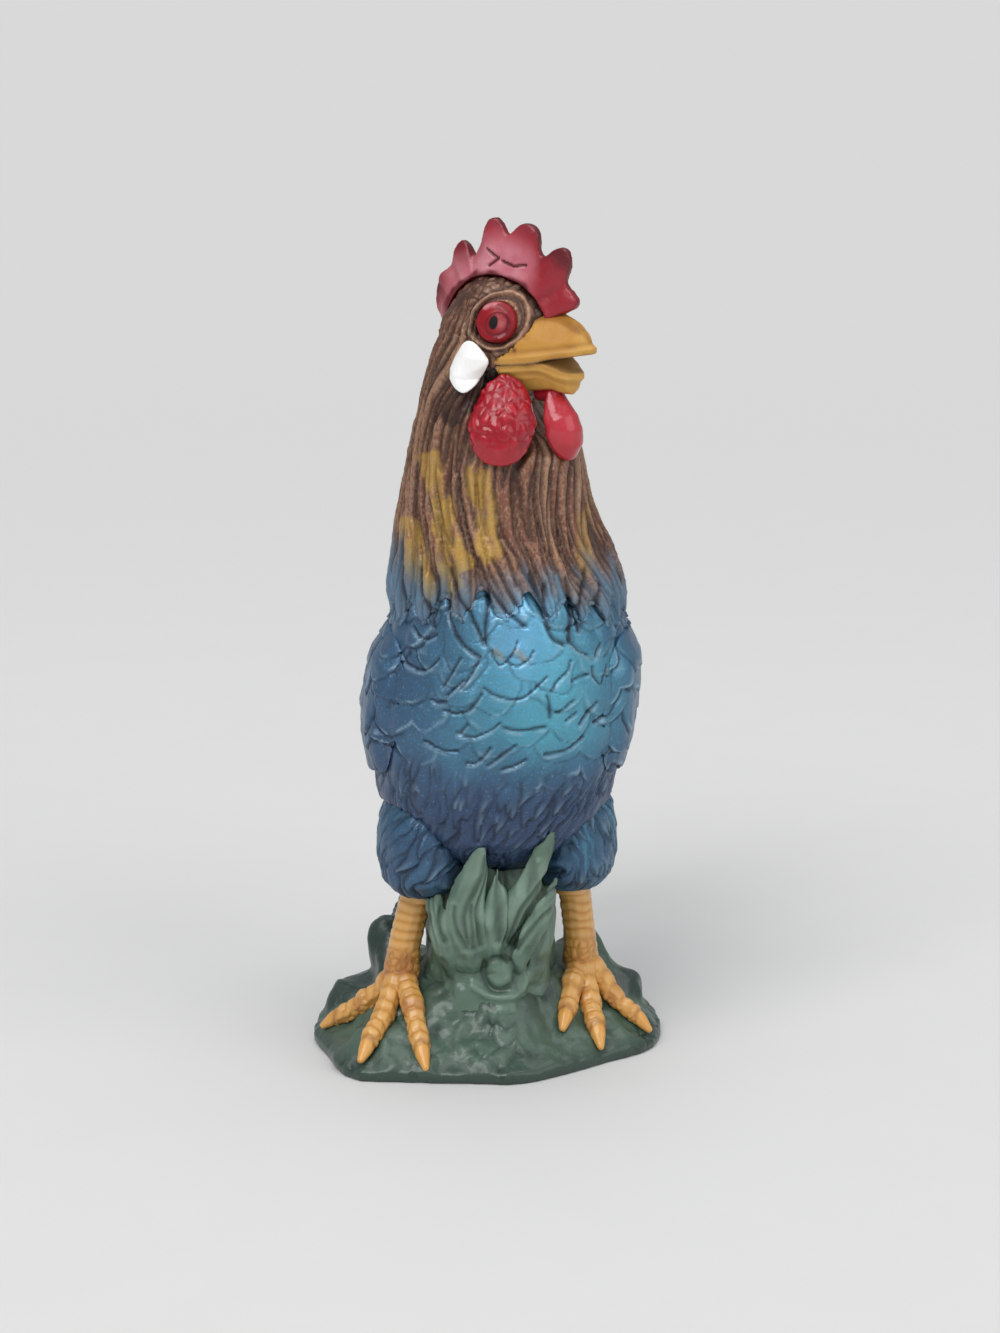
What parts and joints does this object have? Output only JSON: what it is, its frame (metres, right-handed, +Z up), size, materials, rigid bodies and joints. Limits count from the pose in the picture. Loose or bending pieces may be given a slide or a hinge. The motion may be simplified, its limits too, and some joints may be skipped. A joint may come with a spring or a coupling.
{
  "type": "toy rooster figure",
  "caption": "Small hand-painted standing rooster with its head turned aside, on a grassy mound, in separate mouldings that peg together",
  "frame": {"origin": "on the flat underside of the mound, under the middle of the bird's body", "axes": "+Z is up, the bird's body faces -Y, +X is the bird's left side, towards which its head is turned"},
  "size_m": [0.0334, 0.0434, 0.0791],
  "materials": {
    "ground_paint": "washed grey-green paint over moulded turf, satin",
    "grass_paint": "grey-green paint with pale highlights on the blades, glossy",
    "leg_paint": "ochre paint with brown in the scale joints",
    "thigh_paint": "navy blue pearl paint over fine hair-like feathers",
    "breast_paint": "cyan to slate blue pearl paint over carved scale feathers",
    "wing_paint": "slate blue pearl paint over layered feathers",
    "saddle_paint": "bronze brown pearl paint over long pointed feathers",
    "tail_paint": "dark green-black glossy paint with combed barbs",
    "hackle_paint": "bronze brown pearl with gold patches, fading to blue at the tips",
    "face_paint": "brown satin paint with beige dry-brushed wrinkles",
    "comb_paint": "crimson satin paint, darker at the spike tips",
    "beak_paint": "ochre satin paint",
    "eye_paint": "glossy red with a small black pupil",
    "lobe_paint": "white gloss paint",
    "wattle_paint": "glossy red paint over pebbled skin"
  },
  "bodies": {
    "root": {"base_mound": "ground_paint", "grass_tuft": "grass_paint", "leg_left": "leg_paint", "leg_right": "leg_paint", "thigh_left": "thigh_paint", "thigh_right": "thigh_paint", "torso": "breast_paint", "wing_left": "wing_paint", "wing_right": "wing_paint", "saddle_feathers": "saddle_paint", "tail_fan": "tail_paint", "covert_left": "tail_paint", "covert_right": "tail_paint", "sickle_left": "tail_paint", "sickle_right": "tail_paint", "neck_hackle": "hackle_paint", "head": "face_paint", "comb": "comb_paint", "beak_upper": "beak_paint", "beak_lower": "beak_paint", "eye_left": "eye_paint", "eye_right": "eye_paint", "ear_lobe_left": "lobe_paint", "ear_lobe_right": "lobe_paint", "wattle_left": "wattle_paint", "wattle_right": "wattle_paint"}
  },
  "joints": []
}
